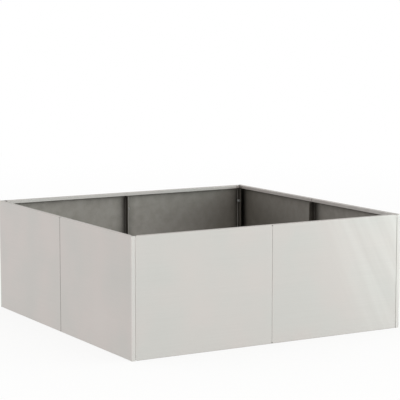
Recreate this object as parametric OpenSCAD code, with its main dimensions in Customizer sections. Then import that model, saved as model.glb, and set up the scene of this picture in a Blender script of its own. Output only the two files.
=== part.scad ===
// Bottomless garden planter, screwed together from eight folded stainless sheet panels.
// Millimetres, +Z up. The origin is at ground level in the middle, the front faces -Y.
// Every panel is drawn lying along X with its outer face on the plane Y = 0 and its
// inner side towards +Y, then mirrored into place.

/* [Overall] */
// Width over both side panels
body_w = 1000; // [640:20:1640]
// Depth over the front and back panels
body_d = 1000; // [600:20:1600]
// Height of every panel
body_h = 380; // [250:10:600]

/* [Sheet] */
// Thickness of the stainless sheet
sheet = 1.2; // [1:0.1:1.5]
// Inside radius of every bend
bend_r = 1; // [0.6:0.1:1.4]

/* [Rim and foot] */
// Width of the rim flange, folded inward along the top
rim_w = 12; // [10:1:20]
// Height of the lip, turned down from the inner edge of the rim flange
lip_h = 12; // [7:1:20]
// Width of the foot flange, folded inward along the bottom
foot_w = 20; // [14:1:40]

/* [Joints] */
// Depth of the joint flanges, which meet face to face, from the outer face inward
joint_w = 22; // [20:1:32]
// Width of the corner strip, which a side panel shows on the front and back
strip_w = 14; // [7:1:20]
// Gap between a rim or foot flange and the seam that it ends at
seam_gap = 0.3; // [0.2:0.1:0.6]
// Width of the relief slots, where two bends would meet
relief = 2; // [1.5:0.1:3]

/* [Fasteners] */
// Number of studs in each joint
stud_rows = 3; // [2:1:5]
// Distance of the highest and lowest stud from the top and bottom
stud_margin = 60; // [40:1:90]
// Diameter of the studs, each welded by its root to a flange without holes
stud_d = 6; // [5:0.1:6.5]
// Length of stud that shows past its nut
stud_tip = 1; // [0.8:0.1:3]
// Width and height of the weld bead round the root of a stud
bead_w = 0.6; // [0.3:0.1:0.8]
// Diameter by which a stud hole is wider than the weld bead
hole_slack = 0.6; // [0.4:0.1:1]
// Width across the flats of the nuts
hex_w = 10; // [9.5:0.1:11]
// Height of a nut
nut_h = 5; // [4:0.1:6]
// Diameter by which a nut's bore is wider than its stud
nut_slack = 0.1; // [0.06:0.01:0.2]
// Diameter of the washers
washer_d = 12; // [11:0.1:13]
// Thickness of the washers
washer_t = 1.6; // [1:0.1:2]
// Diameter by which a washer's bore is wider than its stud
washer_slack = 0.4; // [0.2:0.1:0.8]
// Size of the bevel on the nuts and stud ends
bevel = 0.6; // [0.3:0.1:0.8]

/* [Hidden] */
// Outer radius of every bend
fold_r = bend_r + sheet;
// Length of a front or back panel, from its corner joint to the middle seam
front_panel_l = body_w / 2 - strip_w;
// Length of a side panel, from the front or back plane to the middle seam
side_panel_l = body_d / 2;
// Distance of the stud line behind the outer face, midway along the flat of a flange
stud_in = (fold_r + joint_w) / 2;
stud_pitch = (body_h - 2 * stud_margin) / (stud_rows - 1);
hole_d = stud_d + 2 * bead_w + hole_slack;
stud_l = sheet + washer_t + nut_h + stud_tip;
// How far from a folded edge the next fold or flange starts, past the bend and its relief
slot_end = fold_r + relief;
// Heights at which end flanges stop under the rim and under its lip
end_top = body_h - slot_end;
notch_top = body_h - lip_h - relief;
// Width of the tongue of an end flange that reaches up behind the lip
tongue_w = rim_w - sheet - relief;
// Overshoot of cutting shapes past the faces that they cut
over = 1;
steel = "#c9c5c0";
bright_steel = "#b4b6b8";
$fn = 48;

// Section of a bend, a quarter ring in the corner of the two negative axes
module bend() {
    intersection() {
        difference() {
            circle(fold_r);
            circle(bend_r);
        }
        translate([-fold_r, -fold_r]) square(fold_r);
    }
}

// Section of the rim: the top bend, the flange, the inner bend and the lip
module rim_section() {
    translate([fold_r, body_h - fold_r]) mirror([0, 1]) bend();
    translate([fold_r, body_h - sheet]) square([rim_w - 2 * fold_r, sheet]);
    translate([rim_w - fold_r, body_h - fold_r]) rotate(180) bend();
    translate([rim_w - sheet, body_h - lip_h]) square([sheet, lip_h - fold_r]);
}

// Section of the foot: the bottom bend and the flange
module foot_section() {
    translate([fold_r, fold_r]) bend();
    translate([fold_r, 0]) square([foot_w - fold_r, sheet]);
}

// A section of depth and height, drawn out along X
module along(from_x, to_x) {
    translate([from_x, 0, 0]) rotate([90, 0, 90]) linear_extrude(to_x - from_x) children();
}

// Takes the 45 degree mitre off the corner end of a rim or foot that starts at from_x
module mitre(from_x) {
    deep = max(rim_w, foot_w) + over;
    difference() {
        children();
        translate([0, 0, -over]) linear_extrude(body_h + 2 * over)
            polygon([[from_x - over, -over], [from_x + deep, deep], [from_x - over, deep]]);
    }
}

// Rim and foot of a panel: mitred at from_x, square near the middle seam at x = panel_l
module folds(from_x, panel_l) {
    mitre(from_x) along(from_x, panel_l - seam_gap) rim_section();
    mitre(from_x) along(from_x, panel_l - seam_gap) foot_section();
}

// Flat web of a panel between its top and bottom bends
module web(from_x, panel_l) {
    translate([from_x, 0, fold_r]) cube([panel_l - fold_r - from_x, sheet, body_h - 2 * fold_r]);
}

// Stud holes through a flange that stands on the plane X = 0
module stud_holes() {
    for (row = [0 : stud_rows - 1])
        translate([-over, stud_in, stud_margin + row * stud_pitch])
            rotate([0, 90, 0]) cylinder(d = hole_d, h = sheet + 2 * over);
}

// Outline of a joint flange in depth and height, with the notch that clears the lip
module flange_outline() {
    translate([fold_r, slot_end]) square([joint_w - fold_r, notch_top - slot_end]);
    translate([fold_r, slot_end]) square([tongue_w - fold_r, end_top - slot_end]);
}

// Joint flange at the end X = 0 of a panel, with its bend, drilled to go over studs or bare
// to carry them
module end_flange(drilled) {
    translate([fold_r, fold_r, slot_end]) linear_extrude(end_top - slot_end) bend();
    difference() {
        along(0, sheet) flange_outline();
        if (drilled) stud_holes();
    }
}

// End flange at the middle seam of a panel
module seam_flange(panel_l, drilled) {
    translate([panel_l, 0, 0]) mirror([1, 0, 0]) end_flange(drilled);
}

// Corner return of a side panel: the bare edge of the web, the strip across the corner
// and the leg that runs back inward and carries the studs for the next panel
module corner_return() {
    translate([fold_r, 0, 0]) cube([relief, sheet, body_h]);
    linear_extrude(body_h) {
        translate([fold_r, fold_r]) bend();
        translate([0, fold_r]) square([sheet, strip_w - 2 * fold_r]);
        translate([fold_r, strip_w - fold_r]) mirror([0, 1]) bend();
    }
    translate([0, strip_w, 0]) mirror([1, -1, 0]) mirror([1, 0, 0]) along(0, sheet) flange_outline();
}

// Panel of the front and back, with its corner joint at X = 0
module face_panel(drilled_seam) {
    color(steel) {
        web(fold_r, front_panel_l);
        folds(seam_gap, front_panel_l);
        end_flange(true);
        seam_flange(front_panel_l, drilled_seam);
    }
}

// Panel of the sides, with its corner return at X = 0
module side_panel(drilled_seam) {
    color(steel) {
        web(fold_r, side_panel_l);
        folds(slot_end, side_panel_l);
        corner_return();
        seam_flange(side_panel_l, drilled_seam);
    }
}

// One stud, its root welded to the joint plane X = 0, its shank towards +X
module stud() {
    rotate([0, 90, 0]) {
        cylinder(d = stud_d, h = stud_l - bevel);
        cylinder(d1 = stud_d + 2 * bead_w, d2 = stud_d, h = bead_w);
        translate([0, 0, stud_l - bevel]) cylinder(d1 = stud_d, d2 = stud_d - 2 * bevel, h = bevel);
    }
}

// One washer, on the far side of the drilled flange
module washer() {
    translate([sheet, 0, 0]) rotate([0, 90, 0]) difference() {
        cylinder(d = washer_d, h = washer_t);
        translate([0, 0, -over]) cylinder(d = stud_d + washer_slack, h = washer_t + 2 * over);
    }
}

// One nut, bevelled at its outer end, on the washer
module nut() {
    corner_d = hex_w / cos(30);
    translate([sheet + washer_t, 0, 0]) rotate([0, 90, 0]) difference() {
        intersection() {
            cylinder(d = corner_d, h = nut_h, $fn = 6);
            union() {
                cylinder(d = corner_d + over, h = nut_h - bevel);
                translate([0, 0, nut_h - bevel])
                    cylinder(d1 = corner_d, d2 = corner_d - 2 * bevel, h = bevel);
            }
        }
        translate([0, 0, -over]) cylinder(d = stud_d + nut_slack, h = nut_h + 2 * over);
    }
}

// One piece at every stud row of a joint
module rows() {
    color(bright_steel)
        for (row = [0 : stud_rows - 1])
            translate([0, stud_in, stud_margin + row * stud_pitch]) children();
}

// Mirrors into place: across the middle to the back, and across the middle to the right
module to_back() { mirror([0, 1, 0]) children(); }
module to_right() { mirror([1, 0, 0]) children(); }

// Places of the panels and joints of the front left quarter. The studs of the middle seams
// stand on the left or front one of two panels, those of the corners on the side panels, so
// the panels go on from the left and the right side goes on last.
module at_face() { translate([-body_w / 2 + strip_w, -body_d / 2, 0]) children(); }
module at_side() { translate([-body_w / 2, -body_d / 2, 0]) mirror([1, -1, 0]) children(); }
module at_front_seam() { translate([0, -body_d / 2, 0]) children(); }
module at_left_seam() { translate([-body_w / 2, 0, 0]) mirror([1, -1, 0]) children(); }

at_face() face_panel(false);  // front_left_panel
to_right() at_face() face_panel(true);  // front_right_panel
to_back() at_face() face_panel(false);  // back_left_panel
to_right() to_back() at_face() face_panel(true);  // back_right_panel
at_side() side_panel(false);  // left_front_panel
to_back() at_side() side_panel(true);  // left_back_panel
to_right() at_side() side_panel(false);  // right_front_panel
to_right() to_back() at_side() side_panel(true);  // right_back_panel

at_front_seam() rows() stud();  // front_seam_studs
at_front_seam() rows() washer();  // front_seam_washers
at_front_seam() rows() nut();  // front_seam_nuts
to_back() at_front_seam() rows() stud();  // back_seam_studs
to_back() at_front_seam() rows() washer();  // back_seam_washers
to_back() at_front_seam() rows() nut();  // back_seam_nuts
at_left_seam() rows() stud();  // left_seam_studs
at_left_seam() rows() washer();  // left_seam_washers
at_left_seam() rows() nut();  // left_seam_nuts
to_right() at_left_seam() rows() stud();  // right_seam_studs
to_right() at_left_seam() rows() washer();  // right_seam_washers
to_right() at_left_seam() rows() nut();  // right_seam_nuts

at_face() rows() stud();  // front_left_corner_studs
at_face() rows() washer();  // front_left_corner_washers
at_face() rows() nut();  // front_left_corner_nuts
to_right() at_face() rows() stud();  // front_right_corner_studs
to_right() at_face() rows() washer();  // front_right_corner_washers
to_right() at_face() rows() nut();  // front_right_corner_nuts
to_back() at_face() rows() stud();  // back_left_corner_studs
to_back() at_face() rows() washer();  // back_left_corner_washers
to_back() at_face() rows() nut();  // back_left_corner_nuts
to_right() to_back() at_face() rows() stud();  // back_right_corner_studs
to_right() to_back() at_face() rows() washer();  // back_right_corner_washers
to_right() to_back() at_face() rows() nut();  // back_right_corner_nuts
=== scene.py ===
import math
import bmesh
import bpy
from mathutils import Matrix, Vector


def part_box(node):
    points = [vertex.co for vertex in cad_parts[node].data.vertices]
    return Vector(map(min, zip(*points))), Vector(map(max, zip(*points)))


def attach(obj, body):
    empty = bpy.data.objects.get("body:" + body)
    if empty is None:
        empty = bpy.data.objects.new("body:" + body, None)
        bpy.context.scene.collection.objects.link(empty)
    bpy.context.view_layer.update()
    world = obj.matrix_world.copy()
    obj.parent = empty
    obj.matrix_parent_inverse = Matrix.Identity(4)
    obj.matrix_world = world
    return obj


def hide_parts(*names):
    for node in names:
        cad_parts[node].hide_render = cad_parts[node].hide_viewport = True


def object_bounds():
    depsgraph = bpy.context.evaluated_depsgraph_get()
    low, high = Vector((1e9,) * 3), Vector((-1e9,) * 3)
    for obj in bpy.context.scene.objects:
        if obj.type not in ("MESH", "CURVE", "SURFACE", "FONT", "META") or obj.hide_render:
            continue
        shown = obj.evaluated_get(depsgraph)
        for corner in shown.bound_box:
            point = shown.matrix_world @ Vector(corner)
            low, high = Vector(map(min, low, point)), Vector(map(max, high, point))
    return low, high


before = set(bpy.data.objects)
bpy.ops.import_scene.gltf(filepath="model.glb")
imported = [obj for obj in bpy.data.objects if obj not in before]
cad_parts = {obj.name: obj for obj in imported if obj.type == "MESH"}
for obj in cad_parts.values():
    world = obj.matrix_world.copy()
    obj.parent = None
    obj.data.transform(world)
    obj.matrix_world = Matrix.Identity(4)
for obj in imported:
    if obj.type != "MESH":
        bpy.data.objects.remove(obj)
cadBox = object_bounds()
halfDepth, top = cadBox[1].y, cadBox[1].z
mm = 0.001
print("frame loaded:", len(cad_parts), "nodes")


# sRGB hex as it is written on a swatch, turned to the linear values that a shader wants
def toLinear(hexColour):
    parts = [int(hexColour[n:n + 2], 16) / 255 for n in (1, 3, 5)]
    return [p / 12.92 if p <= 0.04045 else ((p + 0.055) / 1.055) ** 2.4 for p in parts] + [1]


# Adds one shader node of any kind with its settings. Each named input gets a value, a socket, or a
# node, which stands for its first output in use. A Mix takes its share at 0, then two numbers at 2
# and 3 or two colours at 6 and 7.
def addNode(tree, kind, settings={}, inputs={}):
    node = tree.nodes.new("ShaderNode" + kind)
    for name, value in settings.items():
        setattr(node, name, value)
    for name, value in inputs.items():
        if isinstance(value, bpy.types.Node):
            value = next(output for output in value.outputs if output.enabled)
        if isinstance(value, bpy.types.NodeSocket):
            tree.links.new(value, node.inputs[name])
        else:
            node.inputs[name].default_value = value
    return node


# An empty material and the tree that its nodes go into
def newMaterial(name):
    material = bpy.data.materials.new(name)
    material.use_nodes = True
    material.node_tree.nodes.clear()
    return material, material.node_tree


# Camera at the photograph's angle: a long lens from the front left, a little above the rim
camera = {
    "place": (-2.6114, -4.5389, 1.0501),
    "turn": 30.171,        # degrees to the right of straight at the front
    "dip": 7.032,          # degrees below level
    "lens": 139.45,        # mm, on a sensor 36 mm wide
}
cameraData = bpy.data.cameras.new("camera")
cameraData.lens = camera["lens"]
cameraObject = bpy.data.objects.new("camera", cameraData)
cameraObject.location = camera["place"]
cameraObject.rotation_euler = (math.radians(90 - camera["dip"]), 0, -math.radians(camera["turn"]))
bpy.context.scene.collection.objects.link(cameraObject)
bpy.context.scene.camera = cameraObject
bpy.context.scene.view_settings.view_transform = "Standard"
print("camera placed")


# Satin stainless sheet, type 304, 1.2 mm thick, in one material for both of its sides. The good
# side is belt-ground with 240 grit, which gives a soft, broad reflection with faint level lines.
# Thin sheet is never quite flat, so that reflection swells and fades slowly over a panel.
groundSide = {
    "warm": "#ccc6c2",             # the face is never quite one grey
    "cool": "#cac7c3",
    "smudge": 170 * mm,            # size of the patches where the belt ran lighter
    "warmBelow": 0.38,             # pattern values between which the grey turns from warm to cool
    "coolAbove": 0.62,
    "lineDark": "#b9b4b0",
    "lineShare": 0.26,             # how strongly the dark lines show
    "lineAbove": 0.6,              # pattern values between which a dark line comes in
    "lineBelow": 0.3,
    "lineHeight": 1.4 * mm,        # a line of 240 grit is 0.06 mm high, drawn as coarse as can show
    "lineLength": 260 * mm,
    "lineDepth": 0.004 * mm,
    "lineRelief": 0.5,             # share of that depth which the light picks up
    "smoothest": 0.42,             # roughness, and the pattern values at which it is reached
    "roughest": 0.51,
    "smoothBelow": 0.35,
    "roughAbove": 0.65,
    "swellLength": 450 * mm,       # slow buckle of the sheet
    "swellHeight": 0.4 * mm,
}
# Slanting paler streaks at the right-hand end, where the ground side was wiped dry
# Placed there, they also paint the broad highlight of the lamps that brightens that end
wipedStreaks = {
    "pale": "#dedcd8",
    "share": 0.38,                 # how strongly they show
    "width": 45 * mm,
    "length": 600 * mm,
    "slope": 0.5,                  # how far they lean sideways for each millimetre of height
    "noneBelow": 0.4,              # pattern values between which a streak comes in
    "fullAbove": 0.65,
    "start": 270 * mm,             # they start this far right of the middle, at the foot
    "full": 580 * mm,
    "fade": 0.35,                  # how quickly they fade from the front right corner to the back
}


# Colour of the wiped streaks and their painted highlight over the greys of the ground side
def addStreaks(tree, place, greys):
    x, y, z = addNode(tree, "SeparateXYZ", inputs={0: place}).outputs
    levelWay = addNode(tree, "Math", {"operation": "ADD"}, {0: x, 1: y})
    lean = addNode(tree, "Math", {"operation": "MULTIPLY"}, {0: z, 1: wipedStreaks["slope"]})
    aslant = addNode(tree, "Math", {"operation": "ADD"}, {0: levelWay, 1: lean})
    across = addNode(tree, "Math", {"operation": "DIVIDE"}, {0: aslant, 1: wipedStreaks["width"]})
    along = addNode(tree, "Math", {"operation": "DIVIDE"}, {0: z, 1: wipedStreaks["length"]})
    streaks = addNode(tree, "TexNoise", inputs={
        "Vector": addNode(tree, "CombineXYZ", inputs={0: across, 1: along}),
        "Scale": 1.0, "Detail": 2.0})
    wiped = addNode(tree, "MapRange", inputs={
        "Value": streaks, "From Min": wipedStreaks["noneBelow"],
        "From Max": wipedStreaks["fullAbove"]})

    # they are strongest at the right-hand end of the front, where they paint the highlight
    rightWay = addNode(tree, "Math", {"operation": "ADD"}, {0: x, 1: lean})
    fromFront = addNode(tree, "Math", {"operation": "ADD"}, {0: y, 1: halfDepth})
    backward = addNode(tree, "Math", {"operation": "MULTIPLY"}, {
        0: fromFront, 1: wipedStreaks["fade"]})
    reach = addNode(tree, "MapRange", {"interpolation_type": "SMOOTHSTEP"}, {
        "Value": addNode(tree, "Math", {"operation": "SUBTRACT"}, {0: rightWay, 1: backward}),
        "From Min": wipedStreaks["start"], "From Max": wipedStreaks["full"],
        "To Max": wipedStreaks["share"]})
    return addNode(tree, "Mix", {"data_type": "RGBA"}, {
        0: addNode(tree, "Math", {"operation": "MULTIPLY"}, {0: wiped, 1: reach}),
        6: greys, 7: toLinear(wipedStreaks["pale"])})


# Colour, roughness and normal of the ground side
def makeGroundSide(tree, place):
    x, y, z = addNode(tree, "SeparateXYZ", inputs={0: place}).outputs
    levelWay = addNode(tree, "Math", {"operation": "ADD"}, {0: x, 1: y})
    along = addNode(tree, "Math", {"operation": "DIVIDE"}, {
        0: levelWay, 1: groundSide["lineLength"]})
    across = addNode(tree, "Math", {"operation": "DIVIDE"}, {0: z, 1: groundSide["lineHeight"]})
    lines = addNode(tree, "TexNoise", inputs={
        "Vector": addNode(tree, "CombineXYZ", inputs={0: along, 2: across}),
        "Scale": 1.0, "Detail": 4.0, "Roughness": 0.7})
    smudges = addNode(tree, "TexNoise", inputs={
        "Vector": place, "Scale": 1 / groundSide["smudge"], "Detail": 2.0, "Roughness": 0.45})

    coolness = addNode(tree, "MapRange", inputs={
        "Value": smudges, "From Min": groundSide["warmBelow"],
        "From Max": groundSide["coolAbove"]})
    greys = addNode(tree, "Mix", {"data_type": "RGBA"}, {
        0: coolness, 6: toLinear(groundSide["warm"]), 7: toLinear(groundSide["cool"])})
    lineAmount = addNode(tree, "MapRange", inputs={
        "Value": lines, "From Min": groundSide["lineAbove"], "From Max": groundSide["lineBelow"],
        "To Max": groundSide["lineShare"]})
    colour = addNode(tree, "Mix", {"data_type": "RGBA"}, {
        0: lineAmount, 6: addStreaks(tree, place, greys), 7: toLinear(groundSide["lineDark"])})

    both = addNode(tree, "Math", {"operation": "ADD"}, {0: smudges, 1: lines})
    rough = addNode(tree, "MapRange", inputs={
        "Value": addNode(tree, "Math", {"operation": "MULTIPLY"}, {0: both, 1: 0.5}),
        "From Min": groundSide["smoothBelow"], "From Max": groundSide["roughAbove"],
        "To Min": groundSide["smoothest"], "To Max": groundSide["roughest"]})

    swell = addNode(tree, "TexNoise", inputs={
        "Vector": place, "Scale": 1 / groundSide["swellLength"], "Detail": 0.0})
    swellBump = addNode(tree, "Bump", inputs={
        "Height": swell, "Distance": groundSide["swellHeight"], "Strength": 1.0})
    normal = addNode(tree, "Bump", inputs={
        "Height": lines, "Distance": groundSide["lineDepth"],
        "Strength": groundSide["lineRelief"], "Normal": swellBump})
    return colour, rough, normal


# The inner side is pickled mill finish: duller, greyer and rougher, with soft clouds from the bath
# Its grey is darker than the finish alone, as painted shade of the inside.
millSide = {
    "grey": "#9a9690",
    "paintedShade": "#5a5752",             # painted shade in sheltered places, under the rim and by the flanges
    "shadeReach": 40 * mm,            # how near a fold has to be to cast the painted shade
    "fullShadeBelow": 0.5,              # openness to the sky between which the painted shade clears
    "noShadeAbove": 0.97,
    "mottle": 35 * mm,             # size of the clouds
    "mottleShare": 0.12,           # how strongly they show
    "cloudFrom": 0.35,             # pattern values between which a cloud comes in
    "cloudTo": 0.65,
    "smoothest": 0.49,
    "roughest": 0.61,
}


# Colour and roughness of the inner side, with its painted shade
def makeMillSide(tree, place):
    # painted shade where nearby folds hide the sheet from the sky, clearing away from them
    openness = addNode(tree, "AmbientOcclusion", {"samples": 8}, {
        "Distance": millSide["shadeReach"]}).outputs["AO"]
    clear = addNode(tree, "MapRange", inputs={
        "Value": openness, "From Min": millSide["fullShadeBelow"], "From Max": millSide["noShadeAbove"]})
    mottle = addNode(tree, "TexNoise", inputs={
        "Vector": place, "Scale": 1 / millSide["mottle"], "Detail": 5.0, "Roughness": 0.6})
    cloud = addNode(tree, "MapRange", inputs={
        "Value": mottle, "From Min": millSide["cloudFrom"], "From Max": millSide["cloudTo"],
        "To Min": 1.0, "To Max": 1 - millSide["mottleShare"]})
    colour = addNode(tree, "Mix", {"data_type": "RGBA"}, {
        0: addNode(tree, "Math", {"operation": "MULTIPLY"}, {0: clear, 1: cloud}),
        6: toLinear(millSide["paintedShade"]), 7: toLinear(millSide["grey"])})
    rough = addNode(tree, "MapRange", inputs={
        "Value": mottle, "From Min": millSide["cloudFrom"], "From Max": millSide["cloudTo"],
        "To Min": millSide["smoothest"], "To Max": millSide["roughest"]})
    return colour, rough


# Dust with painted shade on level faces, painted highlights on strips and bends, painted shade in
# grooves
dirtAndWear = {
    "dustAndRimShade": "#9d9992",             # dust on the level rim and foot, which greys them, and painted shade that dims the rim's highlight
    "dustAndRimShadeShare": 0.5,
    "steepBelow": 0.3,             # upward part of the normal between which dust stays on
    "levelAbove": 0.95,
    "strip": "#d8d4d0",            # painted highlight that makes the corner strips a shade lighter than the panels
    "stripShare": 0.35,
    "grooveShade": "#4d4843",            # painted shade in the middle grooves of the sides
    "grooveShadeShare": 1.0,
    "bendHighlight": "#eeebe7",        # painted highlight on the bends of the front and back
    "highlightSeam": 0.28,             # how strongly that shows at the middle seams
    "highlightCorner": 0.6,            # and at the corner seams
    "grooveHalf": 2.2 * mm,        # how far from the middle of a groove both reach
}


# Dust and painted shade, then painted highlight on strips and painted light in the grooves
def addDirtAndWear(tree, place, facing, good, sheetColour):
    x, y = addNode(tree, "SeparateXYZ", inputs={0: place}).outputs[:2]
    upward = addNode(tree, "SeparateXYZ", inputs={0: facing}).outputs[2]
    # dust and painted shade on faces that look up
    settled = addNode(tree, "MapRange", inputs={
        "Value": upward, "From Min": dirtAndWear["steepBelow"],
        "From Max": dirtAndWear["levelAbove"], "To Max": dirtAndWear["dustAndRimShadeShare"]})
    dusty = addNode(tree, "Mix", {"data_type": "RGBA"}, {
        0: settled, 6: sheetColour, 7: toLinear(dirtAndWear["dustAndRimShade"])})

    # the corner strips, beyond the corner seams of front and back, get a painted highlight
    cornerSeam = -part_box("front_left_corner_studs")[0].x
    sideways = addNode(tree, "Math", {"operation": "ABSOLUTE"}, {0: x})
    deep = addNode(tree, "Math", {"operation": "ABSOLUTE"}, {0: y})
    onFace = addNode(tree, "Math", {"operation": "GREATER_THAN"}, {
        0: deep, 1: halfDepth - 2 * dirtAndWear["grooveHalf"]})
    beyond = addNode(tree, "Math", {"operation": "GREATER_THAN"}, {0: sideways, 1: cornerSeam})
    outside = addNode(tree, "Math", {"operation": "MULTIPLY"}, {0: onFace, 1: good})
    onStrip = addNode(tree, "Math", {"operation": "MULTIPLY"}, {0: outside, 1: beyond})
    stripped = addNode(tree, "Mix", {"data_type": "RGBA"}, {
        0: addNode(tree, "Math", {"operation": "MULTIPLY"}, {
            0: onStrip, 1: dirtAndWear["stripShare"]}),
        6: dusty, 7: toLinear(dirtAndWear["strip"])})

    # distance from the nearest groove: the middle seams, and the corner seams of front and back
    pastCorner = addNode(tree, "Math", {"operation": "SUBTRACT"}, {0: sideways, 1: cornerSeam})
    fromCorner = addNode(tree, "Math", {"operation": "ABSOLUTE"}, {0: pastCorner})
    fromSeam = addNode(tree, "Math", {"operation": "MINIMUM"}, {0: sideways, 1: fromCorner})
    distance = addNode(tree, "Mix", inputs={0: onFace, 2: deep, 3: fromSeam})
    nearCorner = addNode(tree, "Math", {"operation": "GREATER_THAN"}, {
        0: sideways, 1: cornerSeam / 2})
    shine = addNode(tree, "Mix", inputs={
        0: nearCorner, 2: dirtAndWear["highlightSeam"], 3: dirtAndWear["highlightCorner"]})
    amount = addNode(tree, "Mix", inputs={0: onFace, 2: dirtAndWear["grooveShadeShare"], 3: shine})
    # painted shade in the grooves of the sides, painted highlight on the bends of the front and
    # back
    groove = addNode(tree, "MapRange", {"interpolation_type": "SMOOTHSTEP"}, {
        "Value": distance, "From Max": dirtAndWear["grooveHalf"], "To Min": amount, "To Max": 0.0})
    grooveColour = addNode(tree, "Mix", {"data_type": "RGBA"}, {
        0: onFace, 6: toLinear(dirtAndWear["grooveShade"]), 7: toLinear(dirtAndWear["bendHighlight"])})
    return addNode(tree, "Mix", {"data_type": "RGBA"}, {0: groove, 6: stripped, 7: grooveColour})


# The ground side is on the outside and goes on over the rim and down the lip
satinSheet = {
    "lipHeight": 12.5 * mm,        # it reaches this far below the top on the inside
    "pullAcross": 0.6,             # how much more a face blurs across its grind than along it
    "pullTurn": 0.25,              # part of a full turn, from along the grind to across it
}


def makeSatinSheet():
    material, tree = newMaterial("satinGroundStainless")
    place = addNode(tree, "TexCoord").outputs["Object"]
    facing = addNode(tree, "NewGeometry").outputs["Normal"]
    height = addNode(tree, "SeparateXYZ", inputs={0: place}).outputs[2]
    level = addNode(tree, "VectorMath", {"operation": "MULTIPLY"}, {0: place, 1: (1, 1, 0)})
    outward = addNode(tree, "VectorMath", {"operation": "DOT_PRODUCT"}, {0: level, 1: facing})
    good = addNode(tree, "Math", {"operation": "MAXIMUM"}, {
        0: addNode(tree, "Math", {"operation": "GREATER_THAN"}, {0: outward, 1: halfDepth / 2}),
        1: addNode(tree, "Math", {"operation": "GREATER_THAN"}, {
            0: height, 1: top - satinSheet["lipHeight"]})})

    groundColour, groundRough, normal = makeGroundSide(tree, place)
    millColour, millRough = makeMillSide(tree, place)
    sheetColour = addNode(tree, "Mix", {"data_type": "RGBA"}, {
        0: good, 6: millColour, 7: groundColour})
    shader = addNode(tree, "BsdfPrincipled", inputs={
        "Base Color": addDirtAndWear(tree, place, facing, good, sheetColour),
        "Metallic": 1.0,
        "Roughness": addNode(tree, "Mix", inputs={0: good, 2: millRough, 3: groundRough}),
        "Anisotropic": satinSheet["pullAcross"],
        "Anisotropic Rotation": satinSheet["pullTurn"],
        "Tangent": addNode(tree, "Tangent", {"direction_type": "RADIAL", "axis": "Z"}),
        "Normal": normal})
    addNode(tree, "OutputMaterial", inputs={"Surface": shader})
    return material


# Plain stainless fasteners, A2: cold-formed and turned, cleaned but not polished. They are a little
# cooler and shinier than the sheet, with a fine uneven grey from the tumbling.
plainFasteners = {
    "metal": "#c6c8c9",
    "dull": "#a4a6a8",
    "grain": 0.9 * mm,         # size of the speckle
    "smoothest": 0.22,
    "roughest": 0.4,
}


def makePlainFasteners():
    material, tree = newMaterial("plainTurnedStainless")
    grain = addNode(tree, "TexNoise", inputs={
        "Vector": addNode(tree, "TexCoord").outputs["Object"],
        "Scale": 1 / plainFasteners["grain"], "Detail": 2.0})
    colour = addNode(tree, "Mix", {"data_type": "RGBA"}, {
        0: grain, 6: toLinear(plainFasteners["dull"]), 7: toLinear(plainFasteners["metal"])})
    rough = addNode(tree, "MapRange", inputs={
        "Value": grain, "To Min": plainFasteners["smoothest"],
        "To Max": plainFasteners["roughest"]})
    shader = addNode(tree, "BsdfPrincipled", inputs={
        "Base Color": colour, "Metallic": 1.0, "Roughness": rough})
    addNode(tree, "OutputMaterial", inputs={"Surface": shader})
    return material


sheetMaterial = makeSatinSheet()
fastenerMaterial = makePlainFasteners()
for name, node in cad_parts.items():
    node.data.materials.clear()
    node.data.materials.append(sheetMaterial if name.endswith("_panel") else fastenerMaterial)
print("finishes given to the panels and fasteners")


# Fasteners of the joints: M6 studs with rolled threads, washers and bevelled hexagon nuts, made in
# the places of the plain ones
fastener = {
    "rows": 3,                 # from the foot to the rim
    "width": 6 * mm,           # over the thread
    "pitch": 1 * mm,
    "threadDepth": 0.55 * mm,
    "flankRise": 2.6,          # more than 2 leaves a flat crest on the thread
    "tipBevel": 0.6 * mm,
    "bead": 0.6 * mm,          # weld bead round a root
    "sheet": 1.2 * mm,         # of the drilled flange, which the washer lies on
    "washerWidth": 12 * mm,
    "washerBore": 6.4 * mm,
    "washerThick": 1.6 * mm,
    "washerRound": 0.25 * mm,  # outer edge, rounded by stamping
    "roundSteps": 3,
    "flats": 10 * mm,          # width of a nut across its flats
    "nutHeight": 5 * mm,
    "nutBore": 6.1 * mm,
    "nutBevel": 30,            # degrees, of the cone that takes off the corners
    "nutCrown": 0.97,          # where the cone starts, as a share of half the flats
    "nutSink": 0.35 * mm,      # bevel of the bore
    "studSides": 24,
    "ringsPerTurn": 8,
    "washerSides": 48,
    "nutSides": 72,
}
# The direction of each joint in x and y, from its studs' welded roots to their tips
jointWays = {
    "front_seam": (1, 0), "back_seam": (1, 0), "left_seam": (0, 1), "right_seam": (0, 1),
    "front_left_corner": (1, 0), "back_left_corner": (1, 0),
    "front_right_corner": (-1, 0), "back_right_corner": (-1, 0),
}


# Skins rings of points, all of one length. It joins the last ring to the first, or caps both.
def skinRings(mesh, rings, closed):
    loops = [[mesh.verts.new(point) for point in ring] for ring in rings]
    for low, high in zip(loops, loops[1:] + (loops[:1] if closed else [])):
        for n in range(len(low)):
            after = (n + 1) % len(low)
            mesh.faces.new((low[n], low[after], high[after], high[n]))
    if not closed:
        mesh.faces.new(loops[0])
        mesh.faces.new(loops[-1])


# Rings of one threaded stud, as (distance from the root, radius, angle)
def studRings(length):
    sides = fastener["studSides"]
    outer = fastener["width"] / 2
    step = fastener["pitch"] / fastener["ringsPerTurn"]
    rings = []
    for n in range(round(length / step) + 1):
        at = min(n * step, length)
        ring = []
        for side in range(sides):
            turn = side / sides
            phase = (at / fastener["pitch"] - turn) % 1
            flank = min(1, fastener["flankRise"] * (0.5 - abs(phase - 0.5)))
            radius = outer - fastener["threadDepth"] * (1 - flank)
            radius = min(radius, outer - max(0, fastener["tipBevel"] - (length - at)))
            if at < fastener["bead"]:
                radius = max(radius, outer + fastener["bead"] - at)
            ring.append((at, radius, 2 * math.pi * turn))
        rings.append(ring)
    return rings


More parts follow.
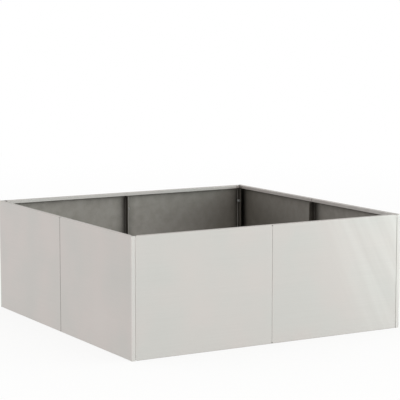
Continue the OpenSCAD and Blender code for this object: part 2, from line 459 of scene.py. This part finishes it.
# Rings of one washer, round its closed section
def washerRings():
    sides, steps = fastener["washerSides"], fastener["roundSteps"]
    inner, outer = fastener["washerBore"] / 2, fastener["washerWidth"] / 2
    low = fastener["sheet"]
    high, soft = low + fastener["washerThick"], fastener["washerRound"]
    section = [(low, inner), (high, inner)]
    for n in range(steps + 1):
        angle = math.radians(90 / steps * n)
        section.append((high - soft + soft * math.cos(angle),
                        outer - soft + soft * math.sin(angle)))
    section += [(low + soft / 2, outer), (low, outer - soft / 2)]
    return [[(at, radius, 2 * math.pi * side / sides) for side in range(sides)]
            for at, radius in section]


# Rings of one nut, round its closed section. The cone leaves curved edges on the six flats.
def nutRings():
    sides = fastener["nutSides"]
    low = fastener["sheet"] + fastener["washerThick"]
    high = low + fastener["nutHeight"]
    bore, flat, sink = fastener["nutBore"] / 2, fastener["flats"] / 2, fastener["nutSink"]
    crown = flat * fastener["nutCrown"]
    slope = math.tan(math.radians(fastener["nutBevel"]))
    sections = []
    for side in range(sides):
        angle = 2 * math.pi * side / sides
        fromFlat = (angle + math.pi / 6) % (math.pi / 3) - math.pi / 6
        edge = flat / math.cos(fromFlat)
        drop = max(0, edge - crown) * slope
        sections.append([(at, radius, angle) for at, radius in (
            (low + sink, bore), (high - sink, bore), (high, bore + sink), (high, crown),
            (high - drop, edge), (low + drop, edge), (low, crown), (low, bore + sink))])
    return list(zip(*sections))


# One piece for all the studs, washers or nuts of a joint, in place of the node of that name
def makeFasteners(joint, kind, rings, closed):
    nodeName = joint + "_" + kind
    low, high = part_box(joint + "_studs")
    wayX, wayY = jointWays[joint]
    middle = (low + high) / 2
    beadRadius = fastener["width"] / 2 + fastener["bead"]
    if wayX:
        root = (low.x if wayX > 0 else high.x, middle.y)
    else:
        root = (middle.x, low.y)
    mesh = bmesh.new()
    for row in range(fastener["rows"]):
        share = row / (fastener["rows"] - 1)
        height = low.z + beadRadius + share * (high.z - low.z - 2 * beadRadius)
        points = []
        for ring in rings:
            points.append([(root[0] + wayX * at - wayY * radius * math.cos(angle),
                            root[1] + wayY * at + wayX * radius * math.cos(angle),
                            height + radius * math.sin(angle)) for at, radius, angle in ring])
        skinRings(mesh, points, closed)
    bmesh.ops.recalc_face_normals(mesh, faces=mesh.faces)
    data = bpy.data.meshes.new(nodeName + "_made")
    mesh.to_mesh(data)
    mesh.free()
    data.materials.append(fastenerMaterial)
    piece = bpy.data.objects.new(nodeName + "_made", data)
    bpy.context.scene.collection.objects.link(piece)
    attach(piece, "root")
    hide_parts(nodeName)


for joint, way in jointWays.items():
    low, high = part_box(joint + "_studs")
    length = high.x - low.x if way[0] else high.y - low.y
    makeFasteners(joint, "studs", studRings(length), False)
    makeFasteners(joint, "washers", washerRings(), True)
    makeFasteners(joint, "nuts", nutRings(), True)


# Studio: a plain pale floor that keeps a soft shadow, a white surround, and soft lamps
studio = {
    "floorColour": "#f4f3f1",
    "floorSize": 160.0,
    "floorDrop": 0.2 * mm,     # keeps the floor just clear of the planter's foot
    "floorGlow": 0.8,          # share of plain white in the floor that the camera and the metal see
    "fadeFrom": 1.2,           # metres from the middle between which it fades to all white
    "fadeTo": 6.0,
    "surround": 0.95,          # light of the surround on everything that isn't metal
}
# Place and size are in metres. The watts are low, as the white surround gives most of the light.
lamps = {
    "keyLamp": {"place": (1.0, -5.6, 1.3), "size": (4.4, 2.4), "watts": 32,
                "tint": (0.82, 1.0, 0.98)},
    "sideLamp": {"place": (2.6, -2.0, 0.7), "size": (1.2, 1.1), "watts": 14,
                 "tint": (0.84, 1.0, 0.98)},
    "cornerLamp": {"place": (-3.2, -2.8, 0.6), "size": (0.8, 1.0), "watts": 10,
                   "tint": (1.0, 1.0, 1.0)},
    "topLamp": {"place": (-0.6, -0.4, 4.5), "size": (2.0, 2.0), "watts": 12,
                "tint": (1.0, 0.99, 0.97)},
}


# 1 for a ray from the camera, from metal or through glass, and 0 for the light on everything else
def seenRay(tree):
    rays = addNode(tree, "LightPath").outputs
    seen = addNode(tree, "Math", {"operation": "MAXIMUM"}, {
        0: rays["Is Camera Ray"], 1: rays["Is Glossy Ray"]})
    return addNode(tree, "Math", {"operation": "MAXIMUM"}, {
        0: seen, 1: rays["Is Transmission Ray"]})


# Matt painted board, pale grey, which gives the floor its soft shadow and no shine
floorMaterial, tree = newMaterial("paleMattFloor")
matt = addNode(tree, "BsdfDiffuse", inputs={"Color": toLinear(studio["floorColour"])})
white = addNode(tree, "Emission", inputs={"Color": (1, 1, 1, 1), "Strength": 1.0})
away = addNode(tree, "VectorMath", {"operation": "LENGTH"}, {
    0: addNode(tree, "TexCoord").outputs["Object"]})
glow = addNode(tree, "MapRange", {"interpolation_type": "SMOOTHSTEP"}, {
    "Value": away, "From Min": studio["fadeFrom"], "From Max": studio["fadeTo"],
    "To Min": studio["floorGlow"], "To Max": 1.0})
whiteShare = addNode(tree, "Math", {"operation": "MULTIPLY"}, {0: seenRay(tree), 1: glow})
floorShader = addNode(tree, "MixShader", inputs={0: whiteShare, 1: matt, 2: white})
addNode(tree, "OutputMaterial", inputs={"Surface": floorShader})

floorMesh = bmesh.new()
bmesh.ops.create_grid(floorMesh, x_segments=1, y_segments=1, size=studio["floorSize"] / 2)
floorData = bpy.data.meshes.new("floor")
floorMesh.to_mesh(floorData)
floorMesh.free()
floorData.materials.append(floorMaterial)
floor = bpy.data.objects.new("floor", floorData)
floor.location.z = -studio["floorDrop"]
bpy.context.scene.collection.objects.link(floor)

world = bpy.data.worlds.new("studio")
bpy.context.scene.world = world
world.use_nodes = True
tree = world.node_tree
tree.nodes.clear()
strength = addNode(tree, "MapRange", inputs={
    "Value": seenRay(tree), "To Min": studio["surround"], "To Max": 1.0})
sky = addNode(tree, "Background", inputs={"Color": (1, 1, 1, 1), "Strength": strength})
addNode(tree, "OutputWorld", inputs={"Surface": sky})

# soft lamps that look at the planter's middle
middle = (cadBox[0] + cadBox[1]) / 2
for name, lamp in lamps.items():
    light = bpy.data.lights.new(name, "AREA")
    light.shape = "RECTANGLE"
    light.size, light.size_y = lamp["size"]
    light.energy = lamp["watts"]
    light.color = lamp["tint"]
    lampObject = bpy.data.objects.new(name, light)
    lampObject.location = lamp["place"]
    lampObject.rotation_euler = (middle - lampObject.location).to_track_quat("-Z", "Y").to_euler()
    lampObject.visible_camera = False
    bpy.context.scene.collection.objects.link(lampObject)
print("studio lit")
